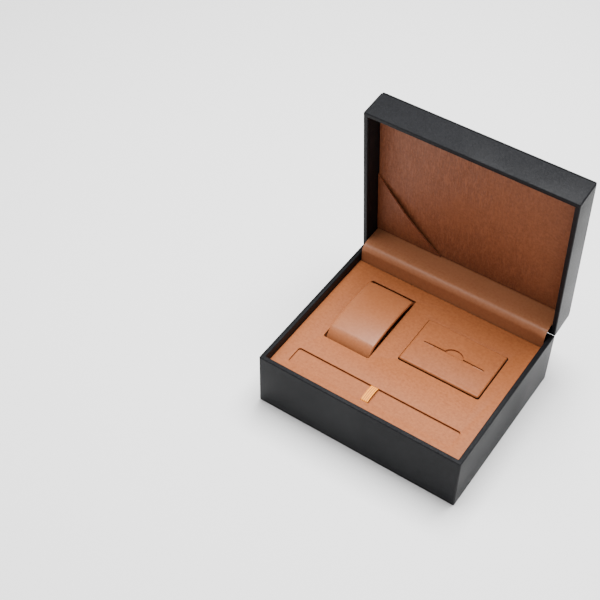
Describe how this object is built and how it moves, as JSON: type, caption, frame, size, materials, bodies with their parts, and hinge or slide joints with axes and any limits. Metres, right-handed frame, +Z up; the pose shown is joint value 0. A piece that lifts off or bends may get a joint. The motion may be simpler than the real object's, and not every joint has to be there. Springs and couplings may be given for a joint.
{
  "type": "watch gift box",
  "caption": "Leather-covered gift box with a hinged lid, a lift-out watch cuff, a card pad with a slit pocket, a pen tray with a ribbon loop and a lined lid.",
  "frame": {"origin": "centre of the underside of the base, on the surface that the box stands on", "axes": "+Z up, +Y towards the hinged rear side, +X to the right of someone who faces the open box"},
  "size_m": [0.2, 0.199, 0.2288],
  "materials": {
    "black_leather": "black imitation leather, fine grain, low satin sheen",
    "tan_leather": "tan imitation leather, fine grain, satin",
    "case_board": "raw fibreboard",
    "foam": "dark dense foam",
    "hinge_steel": "nickel-plated steel",
    "gold_ribbon": "woven satin ribbon",
    "cuff_board": "matt",
    "underside_felt": "short felt",
    "well_card": "dark lining paper"
  },
  "bodies": {
    "base": {"base_bottom_board": "case_board", "base_front_board": "case_board", "base_rear_board": "case_board", "base_left_board": "case_board", "base_right_board": "case_board", "base_leather_wrap": "black_leather", "base_underside_sheet": "underside_felt", "insert_foam_block": "foam", "insert_panel": "tan_leather", "watch_well_liner": "well_card", "pen_tray_floor": "tan_leather", "pen_loop_ribbon": "gold_ribbon", "card_pad_core": "foam", "card_pocket_backing": "tan_leather", "card_pad_cover": "tan_leather", "hinge_base_leaf_left": "hinge_steel", "hinge_base_leaf_right": "hinge_steel", "hinge_pins": "hinge_steel", "hinge_base_screws": "hinge_steel", "hinge_cover_flap": "tan_leather"},
    "lid": {"lid_top_board": "case_board", "lid_front_board": "case_board", "lid_rear_board": "case_board", "lid_left_board": "case_board", "lid_right_board": "case_board", "lid_leather_wrap": "black_leather", "lid_top_panel_board": "case_board", "lid_top_panel_cover": "black_leather", "lid_lining_foam": "foam", "lid_lining_panel": "tan_leather", "lid_corner_pocket": "tan_leather", "hinge_lid_leaf_left": "hinge_steel", "hinge_lid_leaf_right": "hinge_steel", "hinge_lid_screws": "hinge_steel"},
    "cuff": {"cuff_plate": "cuff_board", "cuff_leather": "tan_leather"}
  },
  "joints": [
    {"name": "lid_hinge", "type": "hinge", "parent": "base", "child": "lid", "pos_m": [0, 0.083, 0.059], "axis": [-1, 0, 0], "range_deg": [-85, 10], "deforming": ["hinge_cover_flap"]},
    {"name": "cuff_lift", "type": "slide", "parent": "base", "child": "cuff", "axis": [0, 0, 1], "range_m": [0, 0.018]}
  ]
}
